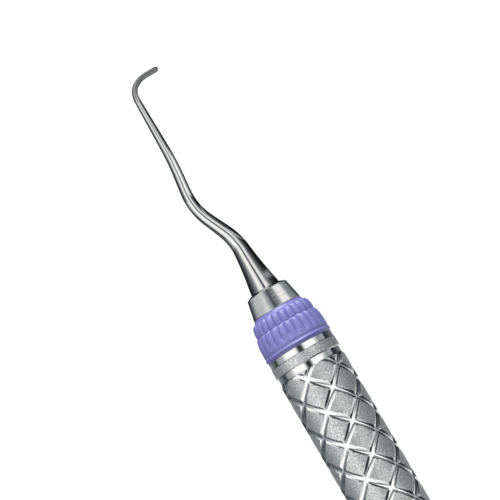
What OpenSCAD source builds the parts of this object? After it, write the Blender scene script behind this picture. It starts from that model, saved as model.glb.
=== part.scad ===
// Double-ended dental hand scaler. A hollow steel handle carries the same assembly at
// both ends: a turned nose cone, a ribbed silicone grip ring and a curette working end.
// +X runs along the handle toward the front end, +Z is up as the tool lies flat, and the
// origin is the centre of the handle. The rear end is the front end turned through the
// origin, so the two curettes are a mirror-image pair.

/* [Handle] */
// Outside diameter of the handle (3/8 inch bar)
handle_d = 9.525; // [9:0.005:10]
// Length of the handle tube, from one grip ring to the other
handle_l = 94; // [80:1:110]
// Bore of the hollow handle
bore_d = 8; // [7.6:0.1:8.4]
// Length of the bright turned band next to the grip ring
bright_band_l = 1; // [0.6:0.05:2]
// Length of the sand-blasted band between the two bright ones
satin_band_l = 1.25; // [0.6:0.05:3]
// Length of the ring groove that the handle pattern runs out into
runout_l = 1.15; // [0.6:0.05:2]
// Depth of the bright turned band
bright_band_depth = 0.08; // [0.04:0.01:0.15]
// Depth of the run-out groove
runout_depth = 0.2; // [0.08:0.01:0.25]

/* [Nose cone] */
// Length of the visible cone beyond the grip ring
cone_l = 3.1; // [2:0.05:6]
// Diameter of the cone where it leaves the grip ring
cone_base_d = 6.98; // [6.4:0.02:7.2]
// Diameter of the cone under its top chamfer
cone_top_d = 5.84; // [5:0.02:6]
// Diameter of the flat top that the shank stands on
cone_face_d = 4.5; // [4.4:0.1:4.8]
// Height of the top chamfer
chamfer_h = 0.32; // [0.1:0.01:0.5]
// Diameter of the neck that holds the grip ring
neck_d = 6; // [5:0.1:6]
// Thickness of the flange that stops the nose cone on the end of the tube
flange_t = 0.8; // [0.5:0.1:1.5]
// Diameter of that flange, covered by the grip ring
flange_d = 8.8; // [8.4:0.1:8.9]
// Length of the spigot pressed into the tube
spigot_l = 11; // [8:0.5:16]
// Size of the bevel that leads the spigot into the tube
spigot_bevel = 0.4; // [0.2:0.1:0.6]

/* [Grip ring] */
// Length of the silicone ring
ring_l = 5.85; // [4.5:0.05:7]
// Diameter of the thin lip that overhangs the handle
lip_d = 9.7; // [9.55:0.01:9.9]
// Thickness of that lip
lip_t = 0.75; // [0.5:0.05:1]
// Diameter of the lip's foot on the end of the tube, under its slanting underside
lip_foot_d = 9.4; // [9:0.05:9.5]
// Largest diameter of the lower tier
lower_tier_d = 9.5; // [9.2:0.02:9.6]
// Height at which the upper tier begins
tier_h = 3.7; // [3.2:0.1:4]
// Largest diameter of the upper tier
upper_tier_d = 8.64; // [8.3:0.02:8.8]
// Number of ribs round the ring, the same in both tiers
rib_count = 24; // [16:1:30]
// Width of the flute between two ribs
flute_w = 0.6; // [0.3:0.05:0.7]
// Depth of the flute between two ribs
flute_depth = 0.16; // [0.08:0.02:0.24]

/* [Working end] */
// Diameter of the tang that is pressed into the nose cone
tang_d = 3; // [2.6:0.1:3.4]
// Length of the tang below the top of the nose cone
tang_l = 11; // [8:0.5:12]
// Diameter of the shank at its root, if it had no flare
shank_root_d = 2.24; // [1.8:0.02:2.6]
// How far the flare widens the foot of the shank
flare_d = 1.88; // [1.6:0.02:2.2]
// Distance over which the flare dies away
flare_l = 4.3; // [2.5:0.1:5]
// Diameter of the shank where it turns into the blade
neck_of_blade_d = 0.78; // [0.6:0.02:1]
// Width of the blade across its face
blade_w = 0.94; // [0.7:0.02:1.2]
// Height of the blade's rounded back over its middle line
blade_back = 0.4; // [0.25:0.01:0.5]
// Depth of the flat face under the blade's middle line
blade_face = 0.24; // [0.1:0.01:0.3]
// Turn of the face about the blade, which drops one cutting edge below the other
face_offset = 20; // [0:1:30]
// Length of the rounded toe
toe_l = 0.55; // [0.3:0.05:0.8]

/* [Seal] */
// Section diameter of the O-ring between spigot and tube
seal_d = 0.9; // [0.6:0.1:1.2]
// Distance of the O-ring from the end of the tube
seal_x = 6; // [3:0.5:8]

/* [Hidden] */

// Smoothness of the turned parts, and of the cylinders that cut the flutes
$fn = 96;
flute_fn = 24;
// Radii and places that follow from the sizes above
handle_r = handle_d / 2;
bore_r = bore_d / 2;
tube_end = handle_l / 2;
cone_root = tube_end + ring_l;
cone_top = cone_root + cone_l;
// Width of the small bevel at each edge of the turned bands
bevel = 0.1;
// The grip ring's two tiers are quarter ellipses. Each has its widest place at crown_x
// above the ring's foot and its middle at core_r from the axis.
lower_crown_x = 1.5;
lower_core_r = 3.95;
lower_reach = 2.6;
upper_crown_x = 3.98;
upper_core_r = 3.2;
upper_reach = 1.9;
tier_steps = 8;
// The lip's rim is a plain cylinder between these two heights
lip_rim_from = 0.3;
lip_rim_to = 0.6;
// Height above each tier's start at which its flutes start, how far the flutes' far end lies
// outside the tier above it, and how far below the ring's top they stop
flute_start = 0.2;
flute_end_out = 0.15;
flute_top_out = 0.6;
flute_stop = 0.3;
// Radial room that the O-ring leaves in its groove, and the groove's spare width
seal_room = 0.01;
seal_side_room = 0.15;

// The corners of the shank's middle line, [along the handle from the top of the nose cone,
// sideways], and how far from each corner its round bend begins
shank_corners = [
    [0, 0], [7.7, 0.1], [14, 2.93], [20.8, 2.12], [31.95, 2.06], [32.5, -0.2], [32.5, -2.42]
];
bend_reach = [0, 1.9, 2.5, 2, 1.9, 0.4, 0];
last_corner = len(shank_corners) - 1;
elbow = 4;
// How slowly the flare starts to narrow at its foot
flare_power = 1.29;
bend_steps = 7;
ring_spacing = 1;
toe_steps = 6;
// The toe stops a hair short of a point, and keeps some of its height while it narrows
toe_share = 0.985;
toe_back_share = 0.7;
toe_face_share = 0.5;
shank_sides = 16;

function unit(v) = v / norm(v);
function quarter_turn(v) = [-v.y, v.x];
function smooth(t) = t * t * (3 - 2 * t);
function clamp01(t) = max(0, min(1, t));

// The places where a bend starts and ends, on the two straight lines that meet in a corner
function bend_start(i) =
    shank_corners[i] + bend_reach[i] * unit(shank_corners[i - 1] - shank_corners[i]);
function bend_end(i) =
    i == 0 ? shank_corners[0]
           : shank_corners[i] + bend_reach[i] * unit(shank_corners[i + 1] - shank_corners[i]);
function stretch_end(i) = i == last_corner ? shank_corners[i] : bend_start(i);

// The round bend in corner i, without its first point
function bend(i) = [
    for (k = [1:bend_steps])
        let (t = k / bend_steps)
        (1 - t) * (1 - t) * bend_start(i) + 2 * t * (1 - t) * shank_corners[i]
            + t * t * bend_end(i)
];

// The straight stretch that leads to corner i, without its first point
function straight(i) =
    let (from = bend_end(i - 1), to = stretch_end(i), n = ceil(norm(to - from) / ring_spacing))
    [for (k = [1:n]) from + (to - from) * k / n];

body_line = concat(
    [shank_corners[0]],
    [for (i = [1:last_corner]) each concat(straight(i), i < last_corner ? bend(i) : [])]
);

// The last toe_l of the line is taken in finer steps, so that the toe comes out round
tip = shank_corners[last_corner];
tip_way = unit(tip - bend_end(last_corner - 1));
trunk = [for (p = body_line) if (norm(p - tip) > toe_l + 0.1) p];
toe = [for (k = [0:toe_steps]) tip - tip_way * toe_l * (1 - sin(90 * k / toe_steps) * toe_share)];
middle_line = concat(trunk, toe);
line_count = len(middle_line);
// The round shank turns into the blade between the start and the end of the elbow
elbow_i = [for (i = [0:line_count - 1]) if (middle_line[i].x >= bend_start(elbow).x) i][0];
blade_i = [for (i = [elbow_i:line_count - 1]) if (middle_line[i].y <= bend_end(elbow).y) i][0];

function direction(i) =
    unit(middle_line[min(i + 1, line_count - 1)] - middle_line[max(i - 1, 0)]);

// Radius of the round shank at a distance x along the handle
function shank_r(x) =
    let (taper = (shank_root_d - neck_of_blade_d) / 2 / shank_corners[elbow].x)
    shank_root_d / 2 - taper * x + flare_d / 2 * exp(-pow(max(x, 0) / flare_l, flare_power));

// How much of the section is blade: 0 on the shank, 1 past the elbow
function blade_share(i) = smooth(clamp01((i - elbow_i) / (blade_i - elbow_i)));

// The toe narrows as a quarter circle
function toe_scale(i) =
    let (u = clamp01(1 - norm(middle_line[i] - tip) / toe_l))
    sqrt(1 - u * u);

function mix(a, b, t) = a + (b - a) * t;

// One ring of the swept solid: a circle that turns into a D with its flat face toward the handle
function section(i) =
    let (
        s = blade_share(i),
        r = shank_r(min(middle_line[i].x, shank_corners[elbow].x)),
        half_w = mix(r, blade_w / 2, s) * toe_scale(i),
        back = mix(r, blade_back, s) * mix(1, toe_scale(i), toe_back_share),
        face = mix(r, blade_face, s) * mix(1, toe_scale(i), toe_face_share),
        roll = face_offset * s,
        side = quarter_turn(direction(i))
    )
    [
        for (k = [0:shank_sides - 1])
            let (
                a = 360 * k / shank_sides,
                b = half_w * cos(a),
                n = max(back * sin(a), -face),
                rolled_b = b * cos(roll) - n * sin(roll),
                rolled_n = b * sin(roll) + n * cos(roll)
            )
            [middle_line[i].x + side.x * rolled_n, middle_line[i].y + side.y * rolled_n, rolled_b]
    ];

// Revolves an outline of [radius, place along the handle] points about the handle's axis
module turned(outline) rotate([0, 90, 0]) rotate_extrude() polygon(outline);

// Turns the front end's part through the origin, to the rear end
module at_rear() mirror([1, 0, 0]) mirror([0, 1, 0]) mirror([0, 0, 1]) children();

// Outside of the tube at its front end, from the pattern to the end face
function tube_end_outline() =
    let (
        satin_x = tube_end - bright_band_l,
        runout_x = satin_x - satin_band_l,
        pattern_x = runout_x - runout_l
    )
    [
        [handle_r, pattern_x - bevel],
        [handle_r - runout_depth, pattern_x],
        [handle_r - runout_depth, runout_x],
        [handle_r, runout_x + bevel],
        [handle_r, satin_x - bevel],
        [handle_r - bright_band_depth, satin_x],
        [handle_r - bright_band_depth, tube_end],
        [bore_r, tube_end]
    ];

module handle_tube() color("silver") {
    front = tube_end_outline();
    rear = [for (k = [len(front) - 1:-1:0]) [front[k][0], -front[k][1]]];
    turned(concat(front, rear));
}

module nose_cone() {
    seal_r = bore_r - seal_d;
    seal_half = seal_d / 2 + seal_side_room;
    difference() {
        turned([
            [0, tube_end - spigot_l],
            [bore_r - spigot_bevel, tube_end - spigot_l],
            [bore_r, tube_end - spigot_l + spigot_bevel],
            [bore_r, tube_end - seal_x - seal_half],
            [seal_r, tube_end - seal_x - seal_half],
            [seal_r, tube_end - seal_x + seal_half],
            [bore_r, tube_end - seal_x + seal_half],
            [bore_r, tube_end],
            [flange_d / 2, tube_end],
            [flange_d / 2, tube_end + flange_t],
            [neck_d / 2, tube_end + flange_t],
            [neck_d / 2, cone_root],
            [cone_base_d / 2, cone_root],
            [cone_top_d / 2, cone_top - chamfer_h],
            [cone_face_d / 2, cone_top],
            [0, cone_top]
        ]);
        translate([cone_top - tang_l, 0, 0])
            rotate([0, 90, 0])
                cylinder(d = tang_d, h = tang_l + 1);
    }
}

module front_nose_cone() color("silver") nose_cone();
module rear_nose_cone() color("silver") at_rear() nose_cone();

// The round shoulder of one tier, from its crown up to height top_x
function tier(crown_x, core_r, crown_r, reach, top_x) = [
    for (k = [0:tier_steps])
        let (u = (top_x - crown_x) / reach * k / tier_steps)
        [core_r + (crown_r - core_r) * sqrt(1 - min(u * u, 1)), tube_end + crown_x + u * reach]
];

// The flutes of one tier: round cutters that lean with the tier's slope
module flutes(foot_r, foot_x, top_r, top_x) {
    lean = atan2(foot_r - top_r, top_x - foot_x);
    for (k = [0:rib_count - 1])
        rotate([360 * (k + 0.5) / rib_count, 0, 0])
            translate([tube_end + foot_x, 0, foot_r + flute_w / 2 - flute_depth])
                rotate([0, 90 + lean, 0])
                    cylinder(d = flute_w, h = norm([foot_r - top_r, top_x - foot_x]), $fn = flute_fn);
}

module grip_ring() {
    difference() {
        turned(concat(
            [
                [flange_d / 2, tube_end],
                [lip_foot_d / 2, tube_end],
                [lip_d / 2, tube_end + lip_rim_from],
                [lip_d / 2, tube_end + lip_rim_to],
                [lower_tier_d / 2, tube_end + lip_t]
            ],
            tier(lower_crown_x, lower_core_r, lower_tier_d / 2, lower_reach, tier_h),
            tier(upper_crown_x, upper_core_r, upper_tier_d / 2, upper_reach, ring_l),
            [
                [neck_d / 2, tube_end + ring_l],
                [neck_d / 2, tube_end + flange_t],
                [flange_d / 2, tube_end + flange_t]
            ]
        ));
        flutes(lower_tier_d / 2, lower_crown_x + flute_start, upper_tier_d / 2 + flute_end_out, tier_h);
        flutes(
            upper_tier_d / 2, tier_h + flute_start,
            cone_base_d / 2 + flute_top_out, ring_l - flute_stop
        );
    }
}

module front_grip_ring() color("mediumpurple") grip_ring();
module rear_grip_ring() color("mediumpurple") at_rear() grip_ring();

// The shank and blade are one swept solid, and the tang is a true cylinder
module working_end() {
    rings = [for (i = [0:line_count - 1]) section(i)];
    points = [for (ring = rings) each ring];
    sides = [
        for (i = [0:line_count - 2], k = [0:shank_sides - 1])
            let (
                a = i * shank_sides + k,
                b = i * shank_sides + (k + 1) % shank_sides
            )
            each [[a, b, a + shank_sides], [b, b + shank_sides, a + shank_sides]]
    ];
    foot = [for (k = [shank_sides - 1:-1:0]) k];
    end = [for (k = [0:shank_sides - 1]) (line_count - 1) * shank_sides + k];
    translate([cone_top, 0, 0])
        polyhedron(points, concat(sides, [foot], [end]));
    translate([cone_top - tang_l, 0, 0])
        rotate([0, 90, 0])
            cylinder(d = tang_d, h = tang_l + 0.5);
}

module front_working_end() color("gainsboro") working_end();
module rear_working_end() color("gainsboro") at_rear() working_end();

module seal_ring() {
    translate([tube_end - seal_x, 0, 0])
        rotate([0, 90, 0])
            rotate_extrude()
                translate([bore_r - seal_d / 2, 0])
                    circle(d = seal_d - 2 * seal_room, $fn = flute_fn);
}

module front_seal_ring() color("dimgray") seal_ring();
module rear_seal_ring() color("dimgray") at_rear() seal_ring();

handle_tube();
front_nose_cone();
front_grip_ring();
front_working_end();
front_seal_ring();
rear_nose_cone();
rear_grip_ring();
rear_working_end();
rear_seal_ring();
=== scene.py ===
"""Looks of the double-ended hand scaler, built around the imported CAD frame.

+X runs along the handle to the front end and +Z is up. Each piece stands for one CAD node,
takes its size from that node's box and rides on the one rigid body. The rear pieces are the
front ones turned through the origin. Objects are in metres; the grip ring's and the working
end's own sizes are given in millimetres.
"""
import math
from itertools import product

import bmesh
import bpy
from mathutils import Matrix, Vector


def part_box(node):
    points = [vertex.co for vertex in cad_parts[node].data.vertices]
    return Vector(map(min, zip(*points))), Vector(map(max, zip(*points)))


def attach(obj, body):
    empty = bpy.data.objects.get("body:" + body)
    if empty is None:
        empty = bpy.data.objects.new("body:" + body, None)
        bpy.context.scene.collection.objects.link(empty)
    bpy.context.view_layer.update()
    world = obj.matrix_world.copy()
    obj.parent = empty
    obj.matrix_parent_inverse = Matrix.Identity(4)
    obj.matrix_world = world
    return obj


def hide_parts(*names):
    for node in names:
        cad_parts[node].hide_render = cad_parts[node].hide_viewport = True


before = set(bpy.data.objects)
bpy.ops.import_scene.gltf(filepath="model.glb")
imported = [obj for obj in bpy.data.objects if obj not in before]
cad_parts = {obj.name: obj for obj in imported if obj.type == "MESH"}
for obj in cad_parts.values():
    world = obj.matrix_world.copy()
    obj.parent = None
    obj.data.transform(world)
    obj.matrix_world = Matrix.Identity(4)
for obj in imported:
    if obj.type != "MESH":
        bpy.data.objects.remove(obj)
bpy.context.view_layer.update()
MM = 0.001
DIAGONAL = math.sqrt(0.5)

# Sizes read from the frame
TUBE_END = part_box("handle_tube")[1].x
HANDLE_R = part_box("handle_tube")[1].z
RING_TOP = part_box("front_grip_ring")[1].x
LIP_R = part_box("front_grip_ring")[1].z
CONE_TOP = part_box("front_nose_cone")[1].x
SPIGOT_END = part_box("front_nose_cone")[0].x
TANG_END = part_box("front_working_end")[0].x
SEAL_LOW, SEAL_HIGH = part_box("front_seal_ring")

# The bore and the turned bands at each end of the handle, as in the CAD part but with a
# finer bevel. The crossing grooves are as deep as the run-out groove that they end in.
BORE_R = 4 * MM
BRIGHT_BAND = 1.0 * MM
SATIN_BAND = 1.25 * MM
RUNOUT = 1.15 * MM
BRIGHT_DEPTH = 0.08 * MM
GROOVE_DEPTH = 0.2 * MM
BEVEL = 0.08 * MM
BRIGHT_START = TUBE_END - BRIGHT_BAND
RUNOUT_MIDDLE = TUBE_END - BRIGHT_BAND - SATIN_BAND - RUNOUT / 2
RUNOUT_START = RUNOUT_MIDDLE - RUNOUT / 2
RUNOUT_END = RUNOUT_MIDDLE + RUNOUT / 2

# The crossing grooves: six of each hand, on helices that rise at about 45 degrees
STARTS = 6
LEAD = 30.6 * MM
PITCH = LEAD / STARTS
RISING_W = 1.02 * MM
FALLING_W = 0.95 * MM
# Section of a groove: 1 is a parabola, and less is steeper at the sides
GROOVE_POWER = 0.85
# The surface is finished as a groove where it is sunk by this share of a groove's depth
SUNK_SHARE = 0.02
# A place where two grooves cross: distance along the handle, and degrees from the top
CROSSING_X = TUBE_END - 4.52 * MM
CROSSING_ANGLE = -15
# Each groove curls into the run-out groove on an arc that starts here. Short of CURL_CLEAR
# the curls don't touch the pattern, whose own mesh ends at PATTERN_END.
CURL_R = 2.4 * MM
CURL_START = RUNOUT_MIDDLE - CURL_R * (1 - DIAGONAL)
CURL_CLEAR = CURL_START - 0.5 * MM
PATTERN_END = CURL_START - 0.3 * MM
# Steps of the pattern's mesh across a groove and across the land beside it, cuts in each
# edge of the pattern's rim, and rows of mesh over the curls, the satin band and the bright one
ACROSS_GROOVE = 8
ACROSS_LAND = 5
RIM_CUTS = 3
CURL_ROWS = 22
SATIN_ROWS = 4
BRIGHT_ROWS = 3
# Places of the three finishes in the handle's list of materials
BLASTED, BURNISHED, TURNED = range(3)

# The nose cone, as in the CAD part, and the round that breaks its edges
CONE_BASE_R = 3.49 * MM
CONE_TOP_R = 2.92 * MM
CONE_FACE_R = 2.25 * MM
CHAMFER = 0.32 * MM
NECK_R = 3 * MM
FLANGE_R = 4.4 * MM
FLANGE = 0.8 * MM
SPIGOT_BEVEL = 0.4 * MM
SEAL_GROOVE_R = BORE_R - 0.9 * MM
SEAL_GROOVE_HALF = 0.6 * MM
TANG_R = 1.5 * MM
TANG_BEVEL = 0.3 * MM
EDGE_R = 0.05 * MM

# The grip ring, in millimetres above its foot and from the axis. Both tiers have 24 ribs,
# and the crest of each tier is a quarter ellipse: (height of its crown, radius of its
# middle, radius of its crown, reach above the crown).
RING_L = (RING_TOP - TUBE_END) / MM
RIBS = 24
RIB_TURN = 4.5
LOWER_TIER = (1.5, 3.95, 4.75, 2.6)
UPPER_TIER = (3.98, 3.2, 4.32, 1.9)
LOWER_END = 3.7
UPPER_END = 5.42
# Height of the ribs over the flutes between them, where the lower ones begin and over what
# height they rise, the length of their round ends, and how narrow a flute is at its bottom
RIB_HEIGHT = 0.27
RIB_FOOT = 1.0
RIB_RISE = 1.1
RIB_CAP = 0.4
FLUTE_POWER = 2.4
# Outline of the thin lip that overhangs the handle, as (height, radius)
LIP = [
    (0, 4.65), (0.12, 4.67), (0.22, 4.72), (0.3, 4.78), (0.35, 4.83), (0.4, LIP_R / MM),
    (0.45, LIP_R / MM), (0.5, 4.82), (0.55, 4.77), (0.6, 4.73), (0.75, 4.71), (0.9, 4.71),
]
# Radius that the ring narrows to over its top tier, and the round edge that ends it
TOP_R = 3.72
TOP_ROUND = 0.08
TOP_EDGE = [(RING_L - 0.03, 3.5), (RING_L, 3.42)]
# Rows of mesh over the ribs: where they begin, the height of one, half the height of the
# step between the tiers, and how many there are over a rib's round end and over the top
ROWS_FROM = 0.95
ROW = 0.05
HALF_STEP = 1e-3
CAP_ROWS = 8
TOP_ROWS = 4

# The working end, in millimetres: corners of the shank's middle line from the top of the
# nose cone, (along, sideways), and how far from each corner its bend begins
SHANK = [(0, 0), (7.7, 0.1), (14, 2.93), (20.8, 2.12), (31.95, 2.06), (32.5, -0.2), (32.5, -2.42)]
REACH = [0, 1.9, 2.5, 2, 1.9, 0.4, 0]
ELBOW = 4
# The shank's radius at its root, what it loses to each millimetre, and its flared foot
ROOT_R = 1.12
TAPER = 0.02285
FLARE = 0.94
FLARE_L = 4.3
FLARE_POWER = 1.29
# The blade: a round back over a flat face, which is turned by some degrees, and a round toe.
# Over the toe the back and the face draw in by these shares of what the width does.
BLADE_HALF_W = 0.47
BLADE_BACK = 0.395
BLADE_FACE = 0.24
BLADE_CORNER = math.asin(BLADE_FACE / BLADE_BACK)
FACE_OFFSET = 20
TOE = 0.55
TOE_BACK = 0.7
TOE_FACE = 0.5
# Steps round a section, over the back and across the face, and rows over the toe: how far
# they keep from the row before them, and the share of the toe at which the last one stops
BACK_STEPS = 36
FACE_STEPS = 12
TOE_ROWS = 12
TOE_GAP = 0.05
TOE_STOP = 0.999
# Where the mirror polish gives way to the stone-ground finish of the blade
GROUND_FROM = 29.4
GROUND_FULL = 30.6

# The studio is a painted sky. Each list gives its brightness round the handle's axis, in
# degrees from straight up, positive toward -Y. Level with the tool there are two soft boxes
# with a narrow gap between them, over dimmer walls.
STUDIO_LEVEL = [
    (-180, 0.46), (-160, 0.42), (-140, 0.3), (-120, 0.2), (-111, 0.12), (-106, 0.06),
    (-100, 0.08), (-96, 0.34), (-90, 0.52), (-72, 0.66), (-66, 0.9), (-60, 1.3), (-54, 1.6),
    (-20, 1.65), (-14, 1.3), (-10, 0.45), (-6, 0.07), (0, 0.04), (6, 0.07), (10, 0.45),
    (14, 1.3), (20, 1.7), (48, 1.65), (54, 1.35), (60, 0.95), (66, 0.65), (72, 0.42),
    (90, 0.62), (95, 0.4), (99, 0.06), (106, 0.03), (180, 0.46),
]
# A little toward the front the boxes and their gap are narrower, and the walls are dark
STUDIO_NEAR = [
    (-180, 0.05), (-130, 0.03), (-110, 0.07), (-90, 0.14), (-64, 0.42), (-50, 0.85),
    (-42, 1.5), (-26, 1.6), (-15, 1.2), (-10, 0.9), (-6, 0.4), (-3, 0.08), (3, 0.08), (6, 0.4),
    (10, 1.1), (26, 1.55), (36, 0.85), (48, 0.36), (60, 0.18), (74, 0.09), (90, 0.04),
    (102, 0.015), (122, 0.015), (180, 0.05),
]
# Further toward the front a pale wall stands on the +Y side and a brighter one on the other
STUDIO_FRONT = [
    (-180, 0.2), (-155, 0.05), (-140, 0.06), (-120, 0.33), (-100, 0.72), (-90, 0.84),
    (-50, 0.84), (-38, 0.95), (-28, 0.75), (-20, 0.4), (-12, 0.36), (-8, 0.2), (-2, 0.14),
    (20, 0.16), (28, 0.32), (34, 0.7), (42, 1.3), (50, 1.5), (76, 1.45), (88, 0.76),
    (98, 0.45), (120, 0.4), (140, 0.15), (155, 0.1), (180, 0.2),
]
# Beyond those walls, one box hangs over the +Y side, and the -Y side is dark
STUDIO_STEEP = [
    (-180, 0.05), (-130, 0.03), (-90, 0.2), (-70, 0.5), (-58, 1.2), (-42, 1.5), (-28, 1.1),
    (-16, 0.6), (-6, 0.25), (4, 0.05), (50, 0.04), (66, 0.14), (90, 0.1), (106, 0.03),
    (180, 0.05),
]
# Almost straight in front there is light all round, strongest above, weakest on the -Y side
STUDIO_AHEAD = [
    (-180, 0.8), (-150, 0.5), (-135, 0.3), (-115, 1.0), (-48, 1.0), (-36, 1.3), (36, 1.3),
    (60, 0.3), (135, 0.3), (150, 0.5), (180, 0.8),
]
# Toward the rear, one box hangs over the +Y side and one lies below, toward the -Y side
STUDIO_REAR = [
    (-180, 0.9), (-165, 0.5), (-150, 0.1), (-125, 0.2), (-104, 0.12), (-86, 0.12), (-75, 0.45),
    (-63, 1.3), (-44, 1.3), (-30, 0.9), (-16, 0.8), (0, 0.7), (12, 0.5), (22, 0.08),
    (30, 0.03), (84, 0.05), (98, 0.8), (130, 1.1), (150, 0.6), (180, 0.9),
]
# Where each list starts to show and where it is all that shows, by the x of the light's
# direction for AHEAD and by its lean for the others. The lean is 0 at LEVEL_X and grows with
# x, faster for light from below: it is divided by the root of a height, which is 1 straight
# up and falls to LEAST_HEIGHT.
NEAR_LEAN = (0.0, 0.07)
FRONT_LEAN = (0.36, 0.37)
STEEP_LEAN = (0.395, 0.43)
REAR_LEAN = (-0.22, -0.38)
AHEAD_X = (0.76, 0.84)
LEVEL_X = 0.096
LEAST_HEIGHT = 0.06


# --------------------------------------------------------------------------- small helpers
def clamp(value):
    return min(max(value, 0), 1)


def smooth(t):
    t = clamp(t)
    return t * t * (3 - 2 * t)


def mix(first, second, share):
    return first + (second - first) * share


def bend(start, corner, end, t):
    """A point on the curve that rounds a corner from start to end."""
    return (1 - t) ** 2 * start + 2 * t * (1 - t) * corner + t * t * end


def on_axis(x, radius, angle):
    """A point at a radius and an angle from the top, positive toward -Y, in radians."""
    return Vector((x, -radius * math.sin(angle), radius * math.cos(angle)))


def angle_of(point):
    return math.atan2(-point.y, point.z)


def full_turn(count):
    """Angles of as many even steps round the axis."""
    return [2 * math.pi * k / count for k in range(count)]


def join_rings(bm, low, high):
    """A belt of new faces between two rings of as many points."""
    corners = zip(low, low[1:] + low[:1], high[1:] + high[:1], high)
    return [bm.faces.new(four) for four in corners]


def add_object(name, bm, materials, sharp=35):
    """A mesh object from bm, smooth except along edges sharper than the given degrees."""
    mesh = bpy.data.meshes.new(name)
    bmesh.ops.recalc_face_normals(bm, faces=bm.faces)
    for face in bm.faces:
        face.smooth = True
    for edge in bm.edges:
        if len(edge.link_faces) == 2:
            edge.smooth = edge.calc_face_angle() < math.radians(sharp)
    bm.to_mesh(mesh)
    bm.free()
    for material in materials:
        mesh.materials.append(material)
    obj = bpy.data.objects.new(name, mesh)
    bpy.context.scene.collection.objects.link(obj)
    return obj


def through_origin(obj, name):
    """The rear end's twin of a front piece: the same shape turned through the origin."""
    mesh = obj.data.copy()
    mesh.name = name
    mesh.transform(Matrix.Scale(-1, 4))
    mesh.flip_normals()
    twin = bpy.data.objects.new(name, mesh)
    bpy.context.scene.collection.objects.link(twin)
    return twin


def stand_for(obj, node):
    """Makes obj ride on the one body in the place of a CAD node."""
    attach(obj, "root")
    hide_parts(node)


# --------------------------------------------------------------------------- materials
class Nodes:
    """A node tree, with short calls for the nodes that are added to it."""

    def __init__(self, tree):
        self.tree = tree

    def node(self, kind, inputs=None, **settings):
        """A new node, with each of its inputs linked to a socket or set to a value."""
        made = self.tree.nodes.new(kind)
        for key, value in settings.items():
            setattr(made, key, value)
        for socket, value in (inputs or {}).items():
            if isinstance(value, bpy.types.NodeSocket):
                self.tree.links.new(value, made.inputs[socket])
            else:
                made.inputs[socket].default_value = value
        return made

    def maths(self, operation, first, second=0.0, third=0.0):
        inputs = {0: first, 1: second, 2: third}
        return self.node("ShaderNodeMath", inputs, operation=operation).outputs[0]

    def fade(self, share, first, second):
        """The second number over the first, by share."""
        return self.node("ShaderNodeMix", {"Factor": share, "A": first, "B": second}).outputs[0]

    def blend(self, share, first, second):
        """The second colour over the first, by share."""
        inputs = {0: share, 6: first, 7: second}
        return self.node("ShaderNodeMix", inputs, data_type="RGBA").outputs[2]


class Shader(Nodes):
    """A Principled material, with short calls for the nodes that feed it."""

    def __init__(self, name, **sockets):
        self.material = bpy.data.materials.new(name)
        self.material.use_nodes = True
        super().__init__(self.material.node_tree)
        self.principled = self.tree.nodes["Principled BSDF"]
        for socket, value in sockets.items():
            self.principled.inputs[socket.replace("_", " ")].default_value = value
        self.place = self.node("ShaderNodeTexCoord").outputs["Object"]

    def noise(self, scale, detail=2, roughness=0.5, stretch=(1, 1, 1)):
        """Noise at a scale in lumps per metre, stretched along the axes."""
        place = self.node("ShaderNodeMapping", {"Vector": self.place, "Scale": stretch})
        return self.node("ShaderNodeTexNoise", {
            "Vector": place.outputs[0], "Scale": scale, "Detail": detail,
            "Roughness": roughness}).outputs[0]

    def between(self, value, low, high, start=0.3, end=0.7):
        """Maps value from start..end to low..high."""
        return self.node("ShaderNodeMapRange", {
            "Value": value, "From Min": start, "From Max": end,
            "To Min": low, "To Max": high}).outputs[0]

    def colour(self, value, dark, light):
        """A colour from dark to light as the value goes from 0.3 to 0.7."""
        ramp = self.node("ShaderNodeValToRGB", {"Fac": value})
        ends = ramp.color_ramp.elements
        for end, position, shade in zip(ends, (0.3, 0.7), (dark, light)):
            end.position = position
            end.color = (*shade, 1)
        return ramp.outputs[0]

    def bump(self, height, distance, strength):
        return self.node("ShaderNodeBump", {
            "Height": height, "Distance": distance, "Strength": strength}).outputs[0]

    def feed(self, socket, value):
        self.tree.links.new(value, self.principled.inputs[socket])


def polished_steel():
    """Mirror polish with a breath of wiping haze and faint grinding lines along the shank.
    From the elbow to the toe the steel is stone-ground, darker and less shiny."""
    steel = Shader("polished_steel", Metallic=1.0, Specular_Tint=(0.12, 0.12, 0.12, 1))
    haze = steel.noise(900, detail=3)
    lines = steel.noise(9000, stretch=(0.04, 1, 1))
    along = steel.node("ShaderNodeSeparateXYZ", {0: steel.place}).outputs[0]
    outward = steel.maths("ABSOLUTE", along)
    ground = steel.between(outward, 0, 1, CONE_TOP + GROUND_FROM * MM, CONE_TOP + GROUND_FULL * MM)
    mirror_colour = steel.colour(haze, (0.52, 0.52, 0.52), (0.58, 0.58, 0.57))
    ground_colour = steel.colour(haze, (0.29, 0.29, 0.3), (0.33, 0.33, 0.33))
    steel.feed("Base Color", steel.blend(ground, mirror_colour, ground_colour))
    steel.feed("Roughness", steel.fade(ground, steel.between(haze, 0.04, 0.08), 0.24))
    steel.feed("Normal", steel.bump(lines, 0.3e-6, 0.5))
    return steel.material


def turned_steel():
    """Bright turning: fine rings left by the tool, round the axis."""
    steel = Shader("turned_steel", Metallic=1.0)
    rings = steel.noise(14000, stretch=(1, 0.01, 0.01))
    haze = steel.noise(1200, detail=3)
    steel.feed("Base Color", steel.colour(haze, (0.57, 0.58, 0.58), (0.64, 0.64, 0.63)))
    steel.feed("Roughness", steel.between(rings, 0.05, 0.12))
    steel.feed("Normal", steel.bump(rings, 0.5e-6, 0.6))
    return steel.material


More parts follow.
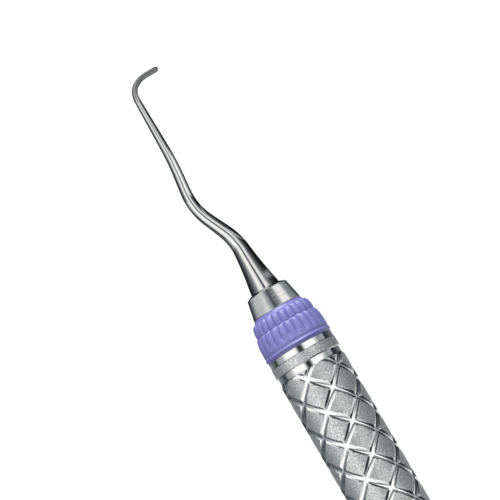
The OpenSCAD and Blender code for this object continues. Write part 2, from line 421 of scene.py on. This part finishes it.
def groove_steel():
    """The polished grooves: burnished by the tool, with drag marks."""
    steel = Shader("groove_steel", Metallic=1.0)
    marks = steel.noise(6000, detail=3)
    steel.feed("Base Color", steel.colour(marks, (0.7, 0.71, 0.71), (0.8, 0.8, 0.79)))
    steel.feed("Roughness", steel.between(marks, 0.1, 0.2))
    steel.feed("Normal", steel.bump(marks, 1.5e-6, 0.6))
    return steel.material


def blasted_steel():
    """Sand-blasted ground: a dense fine grain that scatters the light."""
    steel = Shader("blasted_steel", Metallic=0.8)
    grain = steel.noise(5200, roughness=0.6)
    steel.feed("Base Color", steel.colour(grain, (0.34, 0.35, 0.355), (0.82, 0.83, 0.83)))
    steel.feed("Roughness", steel.between(grain, 0.5, 0.38))
    steel.feed("Normal", steel.bump(grain, 30e-6, 0.5))
    return steel.material


def silicone():
    """Violet moulded silicone with a soft sheen and a fine spark-eroded texture."""
    rubber = Shader("violet_silicone", Metallic=0.0, Coat_Weight=0.25, Coat_Roughness=0.3)
    mould = rubber.noise(4200, detail=3)
    cloud = rubber.noise(700)
    rubber.feed("Base Color", rubber.colour(cloud, (0.12, 0.119, 0.33), (0.138, 0.137, 0.365)))
    rubber.feed("Roughness", rubber.between(mould, 0.38, 0.5))
    rubber.feed("Normal", rubber.bump(mould, 4e-6, 0.5))
    return rubber.material


def seal_rubber():
    """Black rubber of the hidden O-rings."""
    rubber = Shader("seal_rubber", Metallic=0.0)
    mould = rubber.noise(5000)
    rubber.feed("Base Color", rubber.colour(mould, (0.012, 0.012, 0.012), (0.03, 0.03, 0.03)))
    rubber.feed("Roughness", rubber.between(mould, 0.5, 0.65))
    return rubber.material


# --------------------------------------------------------------------------- handle
def helix_phase():
    """Where one rising and one falling groove start: x minus or plus the height round."""
    round_height = LEAD * CROSSING_ANGLE / 360
    return CROSSING_X - round_height, CROSSING_X + round_height


def groove_cut(distance, width):
    """Depth of a groove with steep sides and a shallow round floor."""
    u = distance / (width / 2)
    return GROOVE_DEPTH * (1 - u * u) ** GROOVE_POWER if u < 1 else 0.0


def curl_distance(x, u):
    """Distance from a place to one groove near its end: first the helix, which passes
    through u = 0 at CURL_START, then the arc of the curl, then the run-out groove."""
    from_x = x - (CURL_START - CURL_R * DIAGONAL)
    from_u = u - CURL_R * DIAGONAL
    bearing = math.atan2(from_u, from_x)
    if bearing <= -math.pi / 4:
        return abs((x - CURL_START) - u) * DIAGONAL
    if bearing <= 0:
        return abs(math.hypot(from_x, from_u) - CURL_R)
    return abs(x - RUNOUT_MIDDLE)


def groove_distance(x, y, phase):
    """Distance from (x, y) on the unrolled handle to the nearest groove of the hand that
    rises with y."""
    if x < CURL_CLEAR:
        offset = (x - y - phase) % PITCH
        return min(offset, PITCH - offset) * DIAGONAL
    offset = (y - (CURL_START - phase)) % PITCH
    return min(PITCH, *(curl_distance(x, offset + turn * PITCH) for turn in (-2, -1, 0, 1, 2)))


def groove_depth(x, angle):
    """Depth of the crossing grooves at a place on the handle."""
    rising, falling = helix_phase()
    y = LEAD * angle / (2 * math.pi)
    if x < 0:
        x, y, rising, falling = -x, -y, -rising, -falling
    up = groove_cut(groove_distance(x, y, rising), RISING_W)
    down = groove_cut(groove_distance(x, -y, falling), FALLING_W)
    return max(up, down)


def band_depth(x):
    """Depth of the turned bands, with their bevels, at a distance from the handle's middle."""
    def sunk(low, high, depth):
        return depth * clamp(min(x - low, high - x) / BEVEL)

    run = sunk(RUNOUT_START, RUNOUT_END, GROOVE_DEPTH)
    bright = sunk(BRIGHT_START, TUBE_END + BEVEL, BRIGHT_DEPTH)
    return max(run, bright)


def paint_handle(faces):
    """Gives each face of the handle its finish, by where it lies."""
    for face in faces:
        middle = face.calc_center_median()
        x = abs(middle.x)
        if x > BRIGHT_START or RUNOUT_START + BEVEL / 2 < x < RUNOUT_END:
            face.material_index = TURNED
        elif groove_depth(middle.x, angle_of(middle)) > SUNK_SHARE * GROOVE_DEPTH:
            face.material_index = BURNISHED
        else:
            face.material_index = BLASTED


def pitch_lines(width):
    """Places of the mesh lines over one pitch: across the groove, then across the land."""
    half = width * DIAGONAL
    groove = [half * (2 * k / ACROSS_GROOVE - 1) for k in range(ACROSS_GROOVE + 1)]
    return groove + [mix(half, PITCH - half, k / ACROSS_LAND) for k in range(1, ACROSS_LAND)]


def pattern_cells():
    """The diamonds between the grooves that cover the handle, as pairs of pitch numbers."""
    half_pitch = PITCH / 2
    first_row = math.floor((-PATTERN_END - CROSSING_X) / half_pitch) - 1
    last_row = math.ceil((PATTERN_END - CROSSING_X) / half_pitch) + 1
    for row, column in product(range(first_row, last_row + 1), range(STARTS)):
        rising = row // 2 - STARTS // 2 + column
        yield rising, row - rising


def unrolled_pattern():
    """The patterned stretch of the handle laid flat, on mesh lines that run along the
    grooves, so that every groove's edge is a clean line."""
    rising_lines, falling_lines = pitch_lines(RISING_W), pitch_lines(FALLING_W)
    rising, falling = helix_phase()
    count = len(rising_lines)
    verts = {}
    bm = bmesh.new()

    def vertex(i, j):
        if (i, j) not in verts:
            up = rising + (i // count) * PITCH + rising_lines[i % count]
            down = falling + (j // count) * PITCH + falling_lines[j % count]
            verts[i, j] = bm.verts.new(((up + down) / 2, (down - up) / 2, 0))
        return verts[i, j]

    for cell in pattern_cells():
        for i, j in product(*(range(pitch * count, (pitch + 1) * count) for pitch in cell)):
            bm.faces.new((vertex(i, j), vertex(i + 1, j), vertex(i + 1, j + 1), vertex(i, j + 1)))
    return bm


def pattern_mesh():
    """The patterned stretch, cut to length, rolled up and sunk along its grooves."""
    bm = unrolled_pattern()
    for side in (-1, 1):
        bmesh.ops.bisect_plane(
            bm, geom=bm.verts[:] + bm.edges[:] + bm.faces[:], dist=1e-8,
            plane_co=(side * PATTERN_END, 0, 0), plane_no=(side, 0, 0), clear_outer=True)
    for vertex in bm.verts:
        x = vertex.co.x
        angle = 2 * math.pi * vertex.co.y / LEAD
        vertex.co = on_axis(x, HANDLE_R - groove_depth(x, angle), angle)
    bmesh.ops.remove_doubles(bm, verts=bm.verts, dist=1e-7)
    return bm


def pattern_rim(bm, side):
    """The pattern's open edge on one side, cut finer: its points in order, and their angles."""
    def on_rim(vertex):
        return vertex.co.x * side > PATTERN_END * 0.99

    edges = [edge for edge in bm.edges if edge.is_boundary and on_rim(edge.verts[0])]
    bmesh.ops.subdivide_edges(bm, edges=edges, cuts=RIM_CUTS)
    rim = [vertex for vertex in bm.verts if vertex.is_boundary and on_rim(vertex)]
    rim.sort(key=lambda vertex: angle_of(vertex.co))
    angles = [angle_of(vertex.co) for vertex in rim]
    x = side * PATTERN_END
    for vertex, angle in zip(rim, angles):
        vertex.co = on_axis(x, HANDLE_R - groove_depth(x, angle), angle)
    return rim, angles


def end_rows():
    """Places of the mesh rows from the pattern to the bevel at the tube's end."""
    curls = [mix(PATTERN_END, RUNOUT_END, k / CURL_ROWS) for k in range(1, CURL_ROWS + 1)]
    satin = [mix(RUNOUT_END, BRIGHT_START, k / SATIN_ROWS) for k in range(1, SATIN_ROWS + 1)]
    low, high = BRIGHT_START + BEVEL, TUBE_END - BEVEL
    return curls + satin + [mix(low, high, k / BRIGHT_ROWS) for k in range(BRIGHT_ROWS + 1)]


def add_handle_end(bm, side):
    """Grows one end of the handle, ring by ring, from the pattern to the rim of the bore."""
    rim, angles = pattern_rim(bm, side)
    rings = []
    for x in end_rows():
        depths = [max(groove_depth(side * x, angle), band_depth(x)) for angle in angles]
        rings.append([on_axis(side * x, HANDLE_R - d, angle) for d, angle in zip(depths, angles)])
    for radius in (HANDLE_R - BRIGHT_DEPTH - BEVEL, BORE_R):
        rings.append([on_axis(side * TUBE_END, radius, angle) for angle in angles])
    for points in rings:
        ring = [bm.verts.new(point) for point in points]
        paint_handle(join_rings(bm, rim, ring))
        rim = ring


def handle(name, materials):
    """The tube: patterned sleeve, run-out grooves, turned bands and the bore."""
    bm = pattern_mesh()
    paint_handle(bm.faces)
    for side in (-1, 1):
        add_handle_end(bm, side)
    rims = [edge for edge in bm.edges if edge.is_boundary]
    bmesh.ops.bridge_loops(bm, edges=rims)
    return add_object(name, bm, materials, sharp=34)


# --------------------------------------------------------------------------- nose cone
def rounded(outline, radius, steps=3, side_share=2.5, beside=1.2):
    """An outline of (x, r) points with each inner corner replaced by a short round, and a
    point close beside each round, which keeps the shading of the straight parts straight.
    A round takes up no more than 1 / side_share of a side."""
    points = [Vector(p) for p in outline]
    result = [points[0]]
    for before, corner, after in zip(points, points[1:], points[2:]):
        back, ahead = before - corner, after - corner
        reach = min(radius, back.length / side_share, ahead.length / side_share)
        start, end = corner + back.normalized() * reach, corner + ahead.normalized() * reach
        result.append(corner + (start - corner) * beside)
        result += [bend(start, corner, end, k / steps) for k in range(steps + 1)]
        result.append(corner + (end - corner) * beside)
    return result + [points[-1]]


def lathe(name, outline, material, segments=160):
    """Turns an outline of (x, r) points, which starts and ends on the axis, about X."""
    bm = bmesh.new()
    rings = []
    for x, radius in outline[1:-1]:
        rings.append([bm.verts.new(on_axis(x, radius, angle)) for angle in full_turn(segments)])
    for low, high in zip(rings, rings[1:]):
        join_rings(bm, low, high)
    for (x, _), ring in ((outline[0], rings[0]), (outline[-1], rings[-1])):
        middle = bm.verts.new((x, 0, 0))
        for first, second in zip(ring, ring[1:] + ring[:1]):
            bm.faces.new((middle, first, second))
    return add_object(name, bm, [material], sharp=50)


def nose_cone(name, material):
    """Turned insert: spigot with its seal groove, flange, neck, visible cone and tang bore."""
    seal_x = (SEAL_LOW.x + SEAL_HIGH.x) / 2
    outline = [
        (SPIGOT_END, 0),
        (SPIGOT_END, BORE_R - SPIGOT_BEVEL),
        (SPIGOT_END + SPIGOT_BEVEL, BORE_R),
        (seal_x - SEAL_GROOVE_HALF, BORE_R),
        (seal_x - SEAL_GROOVE_HALF, SEAL_GROOVE_R),
        (seal_x + SEAL_GROOVE_HALF, SEAL_GROOVE_R),
        (seal_x + SEAL_GROOVE_HALF, BORE_R),
        (TUBE_END, BORE_R),
        (TUBE_END, FLANGE_R),
        (TUBE_END + FLANGE, FLANGE_R),
        (TUBE_END + FLANGE, NECK_R),
        (RING_TOP, NECK_R),
        (RING_TOP, CONE_BASE_R),
        (CONE_TOP - CHAMFER, CONE_TOP_R),
        (CONE_TOP, CONE_FACE_R),
        (CONE_TOP, TANG_R),
        (TANG_END, TANG_R),
        (TANG_END, 0),
    ]
    return lathe(name, rounded(outline, EDGE_R), material)


# --------------------------------------------------------------------------- grip ring
def tier_crest(x, tier):
    """Radius of a tier over its ribs, at a height x."""
    crown_x, middle_r, crown_r, reach = tier
    u = clamp((x - crown_x) / reach)
    return middle_r + (crown_r - middle_r) * math.sqrt(1 - u * u)


def ring_radius(x, angle):
    """Radius of the ring's ribbed outside at a height x."""
    turn = (math.degrees(angle) - RIB_TURN) / (360 / RIBS)
    flute = abs(turn - round(turn)) * 2
    if x < LOWER_END:
        crest = tier_crest(x, LOWER_TIER)
        height = RIB_HEIGHT * smooth((x - RIB_FOOT) / RIB_RISE)
        end = LOWER_END
    else:
        crest = tier_crest(min(x, UPPER_END), UPPER_TIER)
        crest = mix(crest, TOP_R, max(x - UPPER_END, 0) / (RING_L - UPPER_END))
        height = RIB_HEIGHT
        end = UPPER_END
    cap = clamp((x - end + RIB_CAP) / RIB_CAP)
    rib = (1 - flute ** FLUTE_POWER) * math.sqrt(1 - cap * cap)
    return crest - height * (1 - rib)


def tier_rows(start, end):
    """Heights of the mesh rows up a tier: even along the ribs, closer over their round ends."""
    count = math.ceil((end - RIB_CAP - start) / ROW - 1e-6)
    over_cap = [1 - math.sin(math.pi / 2 * k / CAP_ROWS) for k in range(CAP_ROWS)]
    return [start + k * ROW for k in range(count)] + [end - RIB_CAP * share for share in over_cap]


def ring_outline():
    """The ring's section as (height, radius) points. The ribbed outside has no one radius."""
    ribbed = tier_rows(ROWS_FROM, LOWER_END) + [LOWER_END - HALF_STEP, LOWER_END + HALF_STEP]
    ribbed += tier_rows(LOWER_END + ROW, UPPER_END)
    ribbed += [mix(UPPER_END, RING_L - TOP_ROUND, k / TOP_ROWS) for k in range(TOP_ROWS + 1)]
    neck_r, flange_r, flange = NECK_R / MM, FLANGE_R / MM, FLANGE / MM
    inside = [(RING_L, neck_r), (flange, neck_r), (flange, flange_r), (0, flange_r)]
    return LIP + [(x, None) for x in ribbed] + TOP_EDGE + inside


def grip_ring(name, material, columns=RIBS * 14):
    """The silicone ring, a closed tube of mesh round the cone's neck."""
    bm = bmesh.new()
    rings = []
    for x, radius in ring_outline():
        ring = []
        for angle in full_turn(columns):
            point = on_axis(TUBE_END + x * MM, (radius or ring_radius(x, angle)) * MM, angle)
            ring.append(bm.verts.new(point))
        rings.append(ring)
    for low, high in zip(rings, rings[1:] + rings[:1]):
        join_rings(bm, low, high)
    return add_object(name, bm, [material], sharp=60)


# --------------------------------------------------------------------------- working end
def shank_line(spacing=0.25, bend_steps=16):
    """The middle line of the shank and blade as (x, y) points in millimetres from the
    cone's top, and the two places where the elbow starts and ends."""
    corners = [Vector(p) for p in SHANK]
    line = [corners[0]]
    elbow = None
    for i in range(1, len(corners)):
        corner = corners[i]
        start = end = corner
        if i < len(corners) - 1:
            start = corner + REACH[i] * (corners[i - 1] - corner).normalized()
            end = corner + REACH[i] * (corners[i + 1] - corner).normalized()
        at = line[-1]
        count = max(1, math.ceil((start - at).length / spacing))
        line += [at.lerp(start, k / count) for k in range(1, count + 1)]
        if i == ELBOW:
            elbow = (start, end)
        if i < len(corners) - 1:
            line += [bend(start, corner, end, k / bend_steps) for k in range(1, bend_steps + 1)]
    return line, elbow


def toe_rows(line):
    """The middle line with rows that close up toward the tip of the toe."""
    tip = line[-1]
    way = (tip - line[-2]).normalized()
    shares = [math.sin(math.pi / 2 * k / TOE_ROWS) * TOE_STOP for k in range(TOE_ROWS + 1)]
    rows = [point for point in line if (point - tip).length > TOE + TOE_GAP]
    return rows + [tip - way * TOE * (1 - share) for share in shares]


def shank_radius(x):
    flare = FLARE * math.exp(-((max(x, 0) / FLARE_L) ** FLARE_POWER))
    return ROOT_R - TAPER * min(x, SHANK[ELBOW][0]) + flare


def section(radius, share, toe):
    """A section as (across, up) points: a circle of the given radius where share is 0, and
    the blade where it is 1. toe goes from 1 before the toe to 0 at its tip."""
    half_w = mix(radius, BLADE_HALF_W, share) * toe
    back = mix(radius, BLADE_BACK, share) * mix(1, toe, TOE_BACK)
    face = mix(radius, BLADE_FACE, share) * mix(1, toe, TOE_FACE)
    points = []
    for k in range(BACK_STEPS + 1):
        turn = -BLADE_CORNER + (math.pi + 2 * BLADE_CORNER) * k / BACK_STEPS
        up = back * math.sin(turn)
        if up < 0:
            up *= mix(1, face / (BLADE_FACE / BLADE_BACK * back), share)
        points.append((half_w * math.cos(turn), up))
    for k in range(1, FACE_STEPS):
        u = k / FACE_STEPS
        turn = math.pi + BLADE_CORNER + (math.pi - 2 * BLADE_CORNER) * u
        flat = half_w * math.cos(BLADE_CORNER) * (2 * u - 1)
        across = mix(half_w * math.cos(turn), flat, share)
        points.append((across, mix(back * math.sin(turn), -face, share)))
    return points


def section_ring(bm, at, way, share, toe):
    """The points of the section at a place on the middle line, square to the line's way."""
    sideways = Vector((-way.y, way.x))
    roll = math.radians(FACE_OFFSET) * share
    ring = []
    for across, up in section(shank_radius(at.x), share, toe):
        height = across * math.cos(roll) - up * math.sin(roll)
        out = across * math.sin(roll) + up * math.cos(roll)
        x, y = at.x + sideways.x * out, at.y + sideways.y * out
        ring.append(bm.verts.new((CONE_TOP + x * MM, y * MM, height * MM)))
    return ring


def add_tang(bm, foot):
    """Closes the shank's foot on the tang, which ends inside the nose cone."""
    bevel_x, bevel_r = TANG_END + TANG_BEVEL, TANG_R - TANG_BEVEL
    for x, radius in ((CONE_TOP, TANG_R), (bevel_x, TANG_R), (TANG_END, bevel_r)):
        ring = [bm.verts.new(on_axis(x, radius, angle_of(vertex.co))) for vertex in foot]
        join_rings(bm, foot, ring)
        foot = ring
    bm.faces.new(foot)


def working_end(name, material):
    """One forging: tang, flared shank with its bends, elbow and curette blade."""
    line, (elbow_start, elbow_end) = shank_line()
    tip = line[-1]
    line = toe_rows(line)
    first = next(i for i, point in enumerate(line) if point.x >= elbow_start.x)
    full = next(i for i, point in enumerate(line) if i > first and point.y <= elbow_end.y)
    bm = bmesh.new()
    rings = []
    for i, at in enumerate(line):
        way = (line[min(i + 1, len(line) - 1)] - line[max(i - 1, 0)]).normalized()
        share = smooth((i - first) / (full - first))
        over_toe = clamp(1 - (at - tip).length / TOE)
        rings.append(section_ring(bm, at, way, share, math.sqrt(1 - over_toe * over_toe)))
    for low, high in zip(rings, rings[1:]):
        join_rings(bm, low, high)
    bm.faces.new(rings[-1])
    add_tang(bm, rings[0])
    return add_object(name, bm, [material], sharp=40)


# --------------------------------------------------------------------------- camera and light
def add_camera():
    """From above, leaning back toward the handle, with the tool pointing up and left."""
    lean = math.radians(5.5)
    turn = math.radians(59.74)
    aim = Vector((CONE_TOP + 5.5 * MM, -0.84 * MM, 0))
    distance = 1.2
    view_width = 65.9 * MM
    away = Vector((math.sin(lean), 0, -math.cos(lean)))
    along = Vector((math.cos(lean), 0, math.sin(lean)))
    across = Vector((0, 1, 0))
    right = -math.cos(turn) * along - math.sin(turn) * across
    up = math.sin(turn) * along - math.cos(turn) * across
    data = bpy.data.cameras.new("camera")
    data.sensor_width = 36
    data.lens = data.sensor_width * distance / view_width
    data.clip_start = 0.05
    data.clip_end = 20
    camera = bpy.data.objects.new("camera", data)
    bpy.context.scene.collection.objects.link(camera)
    rotation = Matrix((right, up, -away)).transposed().to_4x4()
    camera.matrix_world = Matrix.Translation(aim - away * distance) @ rotation
    bpy.context.scene.camera = camera


def sky_colour(level):
    """Grey of a brightness, a little cooler the darker it is."""
    cool = 1 - min(level, 1)
    return level * (1 - 0.12 * cool), level, level * (0.98 + 0.15 * cool), 1


def sky_ramp(nodes, position, levels):
    """The sky's colour round the axis, where position goes from 0 at -180 degrees to 1."""
    ramp = nodes.node("ShaderNodeValToRGB", {"Fac": position})
    elements = ramp.color_ramp.elements
    elements.remove(elements[0])
    for k, (degrees, level) in enumerate(levels):
        element = elements[0] if k == 0 else elements.new(1)
        element.position = degrees / 360 + 0.5
        element.color = sky_colour(level)
    return ramp.outputs[0]


def add_studio():
    """The painted sky. Each further list of its brightness covers the ones before it."""
    bpy.context.scene.view_settings.view_transform = "Standard"
    world = bpy.data.worlds.new("studio")
    bpy.context.scene.world = world
    world.use_nodes = True
    sky = Nodes(world.node_tree)
    direction = sky.node("ShaderNodeTexCoord").outputs["Generated"]
    x, y, z = sky.node("ShaderNodeSeparateXYZ", {0: direction}).outputs
    bearing = sky.maths("ARCTAN2", sky.maths("MULTIPLY", y, -1.0), z)
    position = sky.maths("MULTIPLY_ADD", bearing, 1 / (2 * math.pi), 0.5)
    height = sky.maths("MULTIPLY_ADD", sky.maths("COSINE", bearing), 0.5, 0.5)
    slope = sky.maths("SQRT", sky.maths("MAXIMUM", height, LEAST_HEIGHT))
    lean = sky.maths("DIVIDE", sky.maths("SUBTRACT", x, LEVEL_X), slope)
    layers = [
        (STUDIO_NEAR, lean, NEAR_LEAN),
        (STUDIO_FRONT, lean, FRONT_LEAN),
        (STUDIO_STEEP, lean, STEEP_LEAN),
        (STUDIO_AHEAD, x, AHEAD_X),
        (STUDIO_REAR, lean, REAR_LEAN),
    ]
    colour = sky_ramp(sky, position, STUDIO_LEVEL)
    for levels, measure, (start, full) in layers:
        limits = {"Value": measure, "From Min": start, "From Max": full}
        share = sky.node("ShaderNodeMapRange", limits, interpolation_type="SMOOTHSTEP").outputs[0]
        colour = sky.blend(share, colour, sky_ramp(sky, position, levels))
    sky.tree.links.new(colour, sky.tree.nodes["Background"].inputs["Color"])


def add_ring_light(rings):
    """A lamp in front, for the two silicone rings alone: it draws the ends of their ribs."""
    data = bpy.data.lights.new("ring_lamp", "AREA")
    data.energy = 21
    data.size = 0.8
    distance = 1.1
    lamp = bpy.data.objects.new("ring_lamp", data)
    bpy.context.scene.collection.objects.link(lamp)
    way = Vector((0.86, -0.16, 0.5)).normalized()
    lamp.location = way * distance + Vector((CONE_TOP, 0, 0))
    lamp.rotation_euler = way.to_track_quat("Z", "Y").to_euler()
    lit = bpy.data.collections.new("ring_lamp_lights")
    for ring in rings:
        lit.objects.link(ring)
    lamp.light_linking.receiver_collection = lit


def add_floor():
    """A pale floor just under the tool, which its polished steel doesn't reflect."""
    paint = Shader("pale_floor", Base_Color=(0.5, 0.5, 0.5, 1), Roughness=0.9,
                   Emission_Color=(1, 1, 1, 1), Emission_Strength=0.8)
    bm = bmesh.new()
    bmesh.ops.create_grid(bm, x_segments=1, y_segments=1, size=3)
    floor = add_object("floor", bm, [paint.material])
    floor.location.z = -LIP_R - 0.1 * MM
    floor.visible_glossy = False


# --------------------------------------------------------------------------- the scene
add_camera()
add_studio()
add_floor()

turned = turned_steel()
tube = handle("handle_tube_piece", [blasted_steel(), groove_steel(), turned])
stand_for(tube, "handle_tube")

front_pieces = [
    (nose_cone("front_nose_cone_piece", turned), "nose_cone", "turned_steel"),
    (grip_ring("front_grip_ring_piece", silicone()), "grip_ring", "grip_silicone"),
    (working_end("front_working_end_piece", polished_steel()), "working_end", "polished_steel"),
]
for piece, node_name, slot_name in front_pieces:
    stand_for(piece, "front_" + node_name)
    twin = through_origin(piece, f"rear_{node_name}_piece")
    stand_for(twin, "rear_" + node_name)

add_ring_light([bpy.data.objects[f"{end}_grip_ring_piece"] for end in ("front", "rear")])

rubber = seal_rubber()
for seal in ("front_seal_ring", "rear_seal_ring"):
    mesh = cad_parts[seal].data
    mesh.materials.clear()
    mesh.materials.append(rubber)
